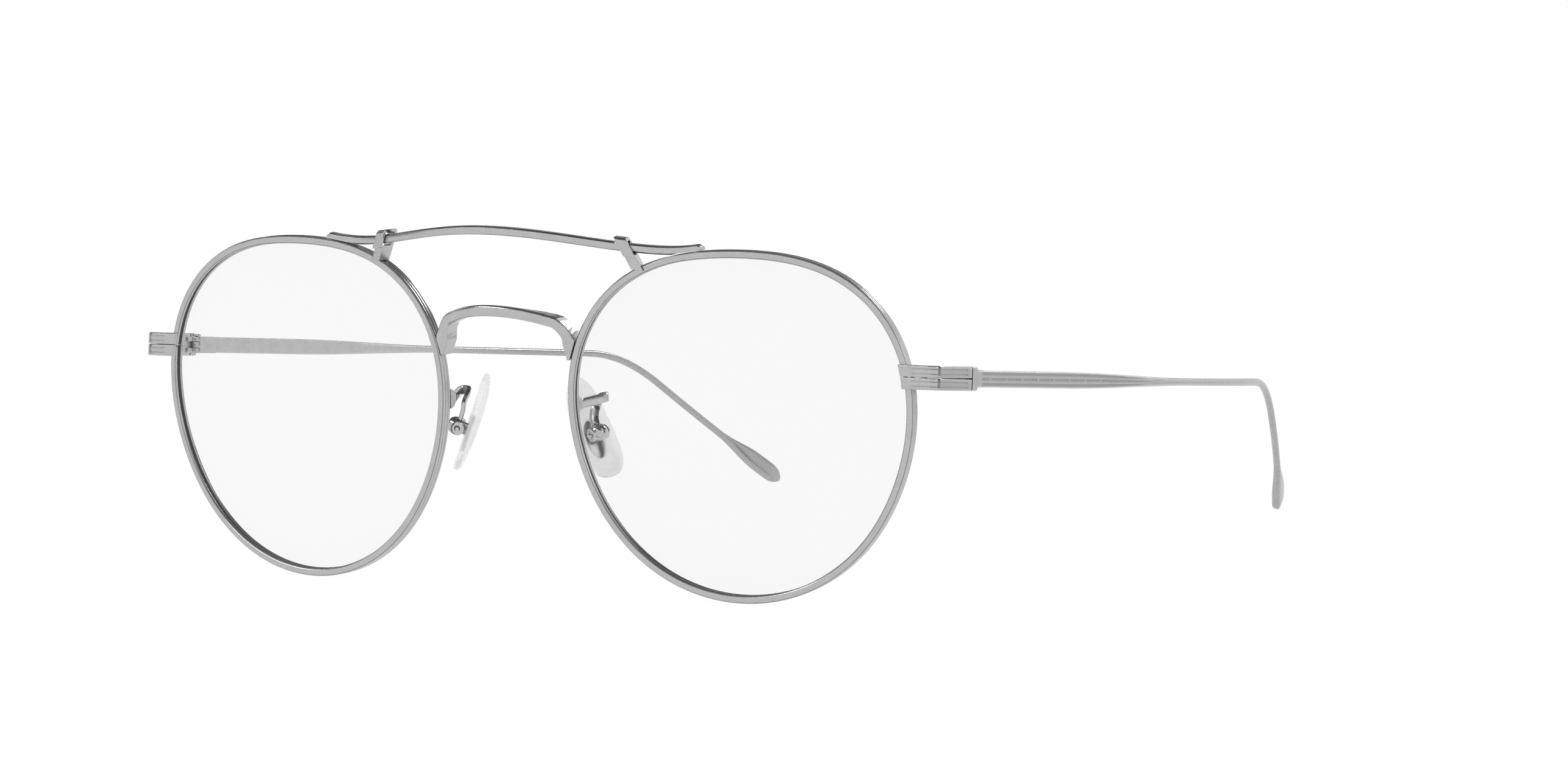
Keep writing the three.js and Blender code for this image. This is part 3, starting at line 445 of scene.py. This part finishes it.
def milky_silicone(pad):
    """Translucent pads, a little cloudy inside."""
    shader = new_finish("pad_finish")
    cloud = shader.noise(2.4 * MM, 1.0)
    return shader.surface({
        "Base Color": shader.blend(cloud, shaded(pad.silicone, 0.97), shaded(pad.silicone, 1.03)),
        "Roughness": 0.22 + 0.12 * cloud,
        "Alpha": pad.opacity - 0.08 + 0.16 * cloud,
        "IOR": 1.41,
        "Transmission Weight": 0.45,
        "Coat Weight": 0.3,
        "Coat Roughness": 0.1,
    })


def finish_of(name):
    """The material of a name, made once."""
    made = bpy.data.materials.get(name)
    if made:
        return made
    settings = bpy.context.scene.spectacles
    makers = {
        "satin_finish": lambda: satin_silver(settings.silver),
        "polished_finish": lambda: polished_silver(settings.silver),
        "engraved_finish": lambda: engraved_silver(settings.silver),
        "rim_finish": lambda: rim_silver(settings.silver),
        "groove_finish": lambda: groove_silver(settings.silver),
        "temple_finish": lambda: temple_silver(settings.silver),
        "lens_finish": lambda: clear_lens(settings.lens),
        "pad_finish": lambda: milky_silicone(settings.pad),
    }
    return makers[name]()


def only(piece):
    """Make a piece the one selected and active object."""
    bpy.ops.object.select_all(action="DESELECT")
    piece.select_set(True)
    bpy.context.view_layer.objects.active = piece


def copy_of(node, fold=math.radians(20)):
    """A merged copy of a solid as a new object, its triangles joined to quads up to some fold."""
    piece = bpy.data.objects.new(f"{node}_skin", frame["nodes"][node].data.copy())
    bpy.context.scene.collection.objects.link(piece)
    piece.data.materials.clear()
    only(piece)
    bpy.ops.mesh.customdata_custom_splitnormals_clear()
    bpy.ops.object.mode_set(mode="EDIT")
    bpy.ops.mesh.select_all(action="SELECT")
    bpy.ops.mesh.remove_doubles(threshold=1e-6)
    bpy.ops.mesh.tris_convert_to_quads(face_threshold=fold, shape_threshold=math.radians(60))
    bpy.ops.object.mode_set(mode="OBJECT")
    return piece


def change(piece, kind, **settings):
    """Give a piece a modifier and apply it."""
    only(piece)
    modifier = piece.modifiers.new(kind.title(), kind)
    for name, value in settings.items():
        setattr(modifier, name, value)
    bpy.ops.object.modifier_apply(modifier=modifier.name)


def crease(piece, angle, where=lambda point: True, weight=1.0):
    """Keep the sharp edges of a place sharp when the piece is subdivided."""
    only(piece)
    bpy.ops.object.mode_set(mode="EDIT")
    bpy.ops.mesh.select_mode(type="EDGE")
    bpy.ops.mesh.select_all(action="DESELECT")
    bpy.ops.mesh.edges_select_sharp(sharpness=angle)
    bpy.ops.object.mode_set(mode="OBJECT")
    points = piece.data.vertices
    for edge in piece.data.edges:
        middle = (points[edge.vertices[0]].co + points[edge.vertices[1]].co) / 2
        edge.select = edge.select and where(middle)
    bpy.ops.object.mode_set(mode="EDIT")
    bpy.ops.transform.edge_crease(value=weight)
    bpy.ops.object.mode_set(mode="OBJECT")


def break_edges(piece, width):
    change(piece, "BEVEL", width=width, segments=2, limit_method="ANGLE", angle_limit=SHARP)


def cast(piece, cell, rounds):
    """Draw a piece again in fine even cells and soften its edges, as on cast metal."""
    change(piece, "REMESH", mode="VOXEL", voxel_size=cell)
    change(piece, "SMOOTH", factor=0.5, iterations=rounds)


def smooth(piece, angle=SHARP):
    only(piece)
    bpy.ops.object.shade_smooth_by_angle(angle=angle)


def dress(piece, node, finish):
    """Give a piece its finish and let it stand for a solid."""
    finishes = piece.data.materials
    if not finishes:
        finishes.append(finish_of(finish))
    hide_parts(node)
    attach(piece, frame["nodes"][node]["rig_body"])


def lens_place(side):
    """Frame of a lens: x across it, y back through it, z up it."""
    out = 1 if side == "left" else -1
    lean = Matrix.Translation(FRONT_PLACE) @ Matrix.Rotation(LEAN, 4, "X")
    return lean @ Matrix.Translation(out * LENS_CENTRE) @ Matrix.Rotation(out * WRAP, 4, "Z")


def hinge_place(side):
    """Frame of a hinge: x out, y back along the temple, z along the pin."""
    joint = JOINTS[f"{side}_temple_fold"]
    out = Vector((1 if side == "left" else -1, 0, 0))
    pin = Vector(joint["axis"])
    if pin.z < 0:
        pin.negate()
    back = Vector((0, pin.z, -pin.y))
    place = Matrix((out, back, pin)).transposed().to_4x4()
    place.translation = Vector(joint["pos_m"]) + OUTER_FACE * out
    return place


def graver(name, routes, radius):
    """Round cutter along routes, each a row of points."""
    curve = bpy.data.curves.new(name, "CURVE")
    curve.dimensions = "3D"
    curve.bevel_depth = radius
    curve.bevel_resolution = 6
    curve.use_fill_caps = True
    for route in routes:
        spline = curve.splines.new("POLY")
        spline.points.add(len(route) - 1)
        for point, place in zip(spline.points, route):
            point.co = (*place, 1)
    tool = bpy.data.objects.new(name, curve)
    bpy.context.scene.collection.objects.link(tool)
    only(tool)
    bpy.ops.object.convert(target="MESH")
    tool.data.materials.append(finish_of("engraved_finish"))
    return tool


def engrave(piece, routes, radius):
    """Cut lines into a piece; their walls are darker, as painted shade."""
    tool = graver("graver", routes, radius)
    change(piece, "BOOLEAN", object=tool, operation="DIFFERENCE", solver="EXACT", material_mode="TRANSFER")
    bpy.data.objects.remove(tool)


def set_beads(piece, places, axis, radius):
    """Set half-round beads on a piece."""
    turn = axis.to_track_quat("Z", "Y").to_euler()
    beads = []
    for place in places:
        bpy.ops.object.select_all(action="DESELECT")
        bpy.ops.mesh.primitive_uv_sphere_add(
            segments=16, ring_count=8, radius=radius, location=place, rotation=turn,
            scale=(1, 1, BEAD_RISE),
        )
        bead = bpy.context.object
        bpy.ops.object.transform_apply(location=True, rotation=True, scale=True)
        bpy.ops.object.shade_smooth()
        bead.data.materials.append(finish_of("polished_finish"))
        beads.append(bead)
    only(piece)
    for bead in beads:
        bead.select_set(True)
    bpy.ops.object.join()


def slot_head(screw, axis):
    """Cut a slot across the wider end of a screw."""
    points = [vertex.co.copy() for vertex in screw.data.vertices]
    ends = []
    for way in (axis, -axis):
        top = max(way.dot(point) for point in points)
        face = [point for point in points if way.dot(point) > top - HEAD_TOP]
        centre = sum(face, Vector()) / len(face)
        ends.append((max((point - centre).length for point in face), centre))
    reach, centre = max(ends, key=lambda end: end[0])
    half = 2 * reach * axis.orthogonal().normalized()
    engrave(screw, [[centre - half, centre + half]], SLOT_RADIUS)


class SPECTACLES_OT_rims(bpy.types.Operator):
    """Round the rims, paint shade into their lines and groove, and paint dark reflections along their edges
    """

    bl_idname = "spectacles.rims"
    bl_label = "Rims"

    def execute(self, context):
        edge = context.scene.spectacles.silver.edge
        for side in SIDES:
            rim = copy_of(f"{side}_rim")
            crease(rim, CREASED)
            change(rim, "SUBSURF", levels=1, render_levels=1)
            break_edges(rim, 0.6 * edge)
            smooth(rim)
            rim.data.materials.append(finish_of("rim_finish"))
            rim.data.materials.append(finish_of("groove_finish"))
            self.paint_groove(rim, side)
            dress(rim, f"{side}_rim", "rim_finish")
        return {"FINISHED"}

    def paint_groove(self, rim, side):
        """The walls behind the front edge that face the lens get the groove finish and its painted shade."""
        place = lens_place(side)
        inward = place.inverted()
        for face in rim.data.polygons:
            centre = inward @ face.center
            outward = place.to_3x3() @ Vector((centre.x, 0, centre.z)).normalized()
            depth = centre.y - (centre.x**2 + centre.z**2) / (2 * LENS_RADIUS)
            if face.normal.dot(outward) < INNER_WALL and depth > RIM_CHAMFER:
                face.material_index = 1


class SPECTACLES_OT_lenses(bpy.types.Operator):
    """Smooth the lenses"""

    bl_idname = "spectacles.lenses"
    bl_label = "Lenses"

    def execute(self, context):
        for side in SIDES:
            lens = copy_of(f"{side}_lens")
            smooth(lens, math.radians(20))
            dress(lens, f"{side}_lens", "lens_finish")
        return {"FINISHED"}


class SPECTACLES_OT_bars(bpy.types.Operator):
    """Soften the bridge and the clips, and break the edges of the brow bar"""

    bl_idname = "spectacles.bars"
    bl_label = "Bridge and Brow Bar"

    def execute(self, context):
        edge = context.scene.spectacles.silver.edge
        for node in ("bridge", "left_brow_clip", "right_brow_clip"):
            piece = copy_of(node)
            cast(piece, 1.2 * edge, BRIDGE_ROUNDS if node == "bridge" else CLIP_ROUNDS)
            smooth(piece, math.radians(60))
            dress(piece, node, "satin_finish")
        bar = copy_of("brow_bar")
        break_edges(bar, edge)
        smooth(bar)
        dress(bar, "brow_bar", "satin_finish")
        return {"FINISHED"}


class SPECTACLES_OT_endpieces(bpy.types.Operator):
    """Engrave the endpieces round their corner"""

    bl_idname = "spectacles.endpieces"
    bl_label = "Endpieces"

    def execute(self, context):
        settings = context.scene.spectacles
        cut = settings.engraving
        sink = cut.line_radius - cut.depth
        for side in SIDES:
            place = hinge_place(side)
            for half, sign in (("upper", 1), ("lower", -1)):
                piece = copy_of(f"{side}_endpiece_{half}", math.radians(1))
                break_edges(piece, settings.silver.edge)
                piece.data.materials.append(finish_of("satin_finish"))
                routes = [
                    [place @ point for point in self.route(sign * ENDPIECE_HALF + offset, sink)]
                    for offset in (-LINE_OFFSET, LINE_OFFSET)
                ]
                engrave(piece, routes, cut.line_radius)
                smooth(piece)
                dress(piece, f"{side}_endpiece_{half}", "satin_finish")
        return {"FINISHED"}

    def route(self, height, sink):
        """From the rim along the face, round the corner and along the side, lifted off the surface."""
        slope = math.tan(WRAP)
        corner = ENDPIECE_CORNER
        start = Vector((-corner, ENDPIECE_FACE - corner * slope, height))
        middle = Vector((0, ENDPIECE_FACE, height))
        end = Vector((0, ENDPIECE_FACE + corner, height))
        route = [start + Vector((-LINE_FACE, -LINE_FACE * slope - sink, 0))]
        for step in range(CORNER_STEPS + 1):
            share = step / CORNER_STEPS
            point = start.lerp(middle, share).lerp(middle.lerp(end, share), share)
            along = (middle - start).lerp(end - middle, share).normalized()
            route.append(point + sink * Vector((along.y, -along.x, 0)))
        route.append(Vector((sink, LINE_END, height)))
        return route


class SPECTACLES_OT_temples(bpy.types.Operator):
    """Round the temple wires and paddles, and engrave the strips"""

    bl_idname = "spectacles.temples"
    bl_label = "Temples"

    def execute(self, context):
        settings = context.scene.spectacles
        cut = settings.engraving
        for side in SIDES:
            place = hinge_place(side)
            inward = place.inverted()
            temple = copy_of(f"{side}_temple")
            crease(temple, CREASED, lambda point: (inward @ point).y < EDGES_FADE)
            crease(temple, CREASED, lambda point: EDGES_FADE <= (inward @ point).y < EDGES_END, 0.5)
            change(temple, "SUBSURF", levels=2, render_levels=2)
            temple.data.materials.append(finish_of("temple_finish"))
            self.decorate(temple, place, cut)
            smooth(temple)
            dress(temple, f"{side}_temple", "temple_finish")
        return {"FINISHED"}

    def decorate(self, temple, place, cut):
        """Three long shallow bands that draw together and run out, and a row of beads between them."""
        bands = []
        for row in (-1, 0, 1):
            band = []
            for step in range(BAND_STEPS + 1):
                y = BAND_START + step * (BAND_END - BAND_START) / BAND_STEPS
                depth = cut.depth * min(1, (BAND_END - y) / (BAND_END - BAND_FADE))
                z = BAND_SPACING * row * self.height(y)
                band.append(place @ Vector((STRIP_FACE + cut.band_radius - depth, y, z)))
            bands.append(band)
        engrave(temple, bands, cut.band_radius)
        x = STRIP_FACE + BEAD_CLEAR - BEAD_RISE * cut.bead
        count = int((BAND_FADE - BAND_START) / cut.pitch) + 1
        beads = [place @ Vector((x, BAND_START + (step + 0.5) * cut.pitch, 0)) for step in range(count)]
        set_beads(temple, beads, place.to_3x3() @ Vector((1, 0, 0)), cut.bead)

    def height(self, y):
        """Height of the strip at a distance behind the joint."""
        share = min(1, max(0, (y - TAPER_START) / (TAPER_END - TAPER_START)))
        return STRIP_HEIGHT + (WIRE - STRIP_HEIGHT) * share**2 * (3 - 2 * share)


class SPECTACLES_OT_hinges(bpy.types.Operator):
    """Break the edges of the hinges"""

    bl_idname = "spectacles.hinges"
    bl_label = "Hinges"

    def execute(self, context):
        edge = context.scene.spectacles.silver.edge
        for side in SIDES:
            for node in (f"{side}_front_hinge", f"{side}_temple_hinge"):
                hinge = copy_of(node)
                break_edges(hinge, 0.6 * edge)
                smooth(hinge)
                dress(hinge, node, "satin_finish")
        return {"FINISHED"}


class SPECTACLES_OT_screws(bpy.types.Operator):
    """Round the screws and slot their heads"""

    bl_idname = "spectacles.screws"
    bl_label = "Screws"

    def execute(self, context):
        edge = context.scene.spectacles.silver.edge
        for side in SIDES:
            pin = Vector(JOINTS[f"{side}_temple_fold"]["axis"])
            rocker = Vector(JOINTS[f"{side}_pad_rock"]["axis"])
            for kind, axis in (("closing_screw", pin), ("hinge_screw", pin), ("pad_screw", rocker)):
                screw = copy_of(f"{side}_{kind}")
                break_edges(screw, edge)
                screw.data.materials.append(finish_of("polished_finish"))
                slot_head(screw, axis)
                smooth(screw)
                dress(screw, f"{side}_{kind}", "polished_finish")
        return {"FINISHED"}


class SPECTACLES_OT_pad_carriers(bpy.types.Operator):
    """Polish the pad arms and boxes, and give the lugs a satin finish"""

    bl_idname = "spectacles.pad_carriers"
    bl_label = "Pad Carriers"

    def execute(self, context):
        edge = context.scene.spectacles.silver.edge
        for side in SIDES:
            for kind, finish in (("pad_arm", "polished"), ("pad_box", "polished"), ("pad_lug", "satin")):
                carrier = copy_of(f"{side}_{kind}")
                break_edges(carrier, edge)
                smooth(carrier, math.radians(40))
                dress(carrier, f"{side}_{kind}", f"{finish}_finish")
        return {"FINISHED"}


class SPECTACLES_OT_nose_pads(bpy.types.Operator):
    """Round the nose pads"""

    bl_idname = "spectacles.nose_pads"
    bl_label = "Nose Pads"

    def execute(self, context):
        for side in SIDES:
            pad = copy_of(f"{side}_nose_pad")
            cast(pad, PAD_CELL, PAD_ROUNDS)
            smooth(pad, math.radians(60))
            dress(pad, f"{side}_nose_pad", "pad_finish")
        return {"FINISHED"}


class SPECTACLES_OT_stage(bpy.types.Operator):
    """Lay the floor, set the lamps and place the camera"""

    bl_idname = "spectacles.stage"
    bl_label = "Stage"

    def execute(self, context):
        stage = context.scene.spectacles.stage
        self.lay_floor(stage)
        self.hang_card("back_card", (-0.55, 0.85, 0.2), (90, 0, 33), (0.6, 0.32))
        self.hang_card("left_card", (-0.9, -0.25, 0.3), (90, 0, 75), (0.35, 0.6))
        self.hang_card("right_card", (0.85, 0.1, 0.25), (90, 0, -80), (0.4, 0.5))
        self.hang_card("floor_card", (0.4, 0.46, 0.002), (0, 0, 0), (0.62, 0.86), 0.78)
        self.hang_card("top_card", (0, 0.3, 1.3), (0, 0, 0), (5, 4), 0.1)
        self.set_lamp("key", stage.key, (1.2, 0.25), Vector((-0.6, -0.8, 0.9)))
        self.set_lamp("fill", stage.fill, (0.5, 0.8), Vector((0.9, -0.2, 0.6)))
        self.set_lamp("spark", stage.spark, (0.3, 0.2), Vector((0.25, 0.9, 0.75)))
        self.surround(context.scene, stage)
        self.place_camera(context.scene, stage)
        context.scene.view_settings.view_transform = "Standard"
        return {"FINISHED"}

    def lay_floor(self, stage):
        bpy.ops.object.select_all(action="DESELECT")
        bpy.ops.mesh.primitive_plane_add(size=8, location=(0, 0, -0.02 * MM))
        floor = bpy.context.object
        floor.name = "floor"
        bpy.ops.object.transform_apply(location=True)
        floor.data.materials.append(self.floor_finish(stage))

    def floor_finish(self, stage):
        """Pale, and mostly white to the eye, in metal and through the lenses, so that shadows stay faint."""
        shader = new_finish("pale_floor")
        pale = shader.node("ShaderNodeBsdfDiffuse", {}, {"Color": shaded(stage.floor, 1)})
        white = shader.node("ShaderNodeEmission", {}, {"Strength": 1.0})
        inputs = {0: stage.whiteness * self.seen(shader), 1: pale.outputs[0], 2: white.outputs[0]}
        mixed = shader.node("ShaderNodeMixShader", {}, inputs)
        shader.node("ShaderNodeOutputMaterial", {}, {"Surface": mixed.outputs[0]})
        return shader.owner

    def seen(self, shader):
        """At least 1 for what the camera sees, plainly, in metal or through the lenses, and else 0."""
        path = shader.node("ShaderNodeLightPath").outputs
        return Value(shader, path["Is Camera Ray"]) + path["Is Glossy Ray"] + path["Is Transmission Ray"]

    def hang_card(self, name, place, turn, size, tone=0.02):
        """A card beside the object, dark or grey, seen only in its metal."""
        bpy.ops.object.select_all(action="DESELECT")
        turn = [math.radians(angle) for angle in turn]
        bpy.ops.mesh.primitive_plane_add(size=1, location=place, rotation=turn)
        card = bpy.context.object
        card.name = name
        card.scale = (*size, 1)
        bpy.ops.object.transform_apply(location=True, rotation=True, scale=True)
        card.visible_camera = False
        card.visible_diffuse = False
        card.visible_shadow = False
        shader = new_finish(name)
        even = shader.node("ShaderNodeEmission", {}, {"Strength": tone})
        shader.node("ShaderNodeOutputMaterial", {}, {"Surface": even.outputs[0]})
        card.data.materials.append(shader.owner)

    def set_lamp(self, name, power, size, place):
        bpy.ops.object.light_add(type="AREA", location=place)
        lamp = bpy.context.object
        lamp.name = name
        lamp.data.energy = power
        lamp.data.shape = "RECTANGLE"
        lamp.data.size, lamp.data.size_y = size
        lamp.rotation_euler = (-place).to_track_quat("-Z", "Y").to_euler()

    def surround(self, scene, stage):
        """White to the eye, in metal and through the lenses, and a plain even light on everything else."""
        shader = Shader(bpy.data.worlds.new("surround"))
        white = self.seen(shader).math("MINIMUM", 1.0)
        inputs = {"Color": (1, 1, 1, 1), "Strength": stage.surround + (1 - stage.surround) * white}
        light = shader.node("ShaderNodeBackground", {}, inputs)
        shader.node("ShaderNodeOutputWorld", {}, {"Surface": light.outputs[0]})
        scene.world = shader.owner

    def place_camera(self, scene, stage):
        bpy.ops.object.camera_add(location=stage.camera_place, rotation=stage.camera_turn)
        camera = bpy.context.object
        camera.data.sensor_width = 36
        camera.data.lens = stage.camera_lens
        camera.data.clip_start = 0.01
        scene.camera = camera


class SPECTACLES_PT_panel(bpy.types.Panel):
    """Pieces of the spectacles and their settings."""

    bl_idname = "SPECTACLES_PT_panel"
    bl_label = "Spectacles"
    bl_space_type = "VIEW_3D"
    bl_region_type = "UI"
    bl_category = "Spectacles"

    def draw(self, context):
        layout = self.layout
        for operator in OPERATORS:
            layout.operator(operator.bl_idname)
        settings = context.scene.spectacles
        for group in (settings.silver, settings.lens, settings.pad, settings.engraving, settings.stage):
            column = layout.box().column()
            for name in group.__annotations__:
                column.prop(group, name)


OPERATORS = (
    SPECTACLES_OT_rims,
    SPECTACLES_OT_lenses,
    SPECTACLES_OT_bars,
    SPECTACLES_OT_endpieces,
    SPECTACLES_OT_temples,
    SPECTACLES_OT_hinges,
    SPECTACLES_OT_screws,
    SPECTACLES_OT_pad_carriers,
    SPECTACLES_OT_nose_pads,
    SPECTACLES_OT_stage,
)

CLASSES = (
    SilverSettings,
    LensSettings,
    PadSettings,
    EngravingSettings,
    StageSettings,
    SpectaclesSettings,
    *OPERATORS,
    SPECTACLES_PT_panel,
)


def register():
    for cls in CLASSES:
        bpy.utils.register_class(cls)
    bpy.types.Scene.spectacles = bpy.props.PointerProperty(type=SpectaclesSettings)


def unregister():
    del bpy.types.Scene.spectacles
    for cls in reversed(CLASSES):
        bpy.utils.unregister_class(cls)


def main():
    register()
    bpy.ops.spectacles.rims()
    bpy.ops.spectacles.lenses()
    bpy.ops.spectacles.bars()
    bpy.ops.spectacles.endpieces()
    bpy.ops.spectacles.temples()
    bpy.ops.spectacles.hinges()
    bpy.ops.spectacles.screws()
    bpy.ops.spectacles.pad_carriers()
    bpy.ops.spectacles.nose_pads()
    bpy.ops.spectacles.stage()


if __name__ == "__main__":
    main()
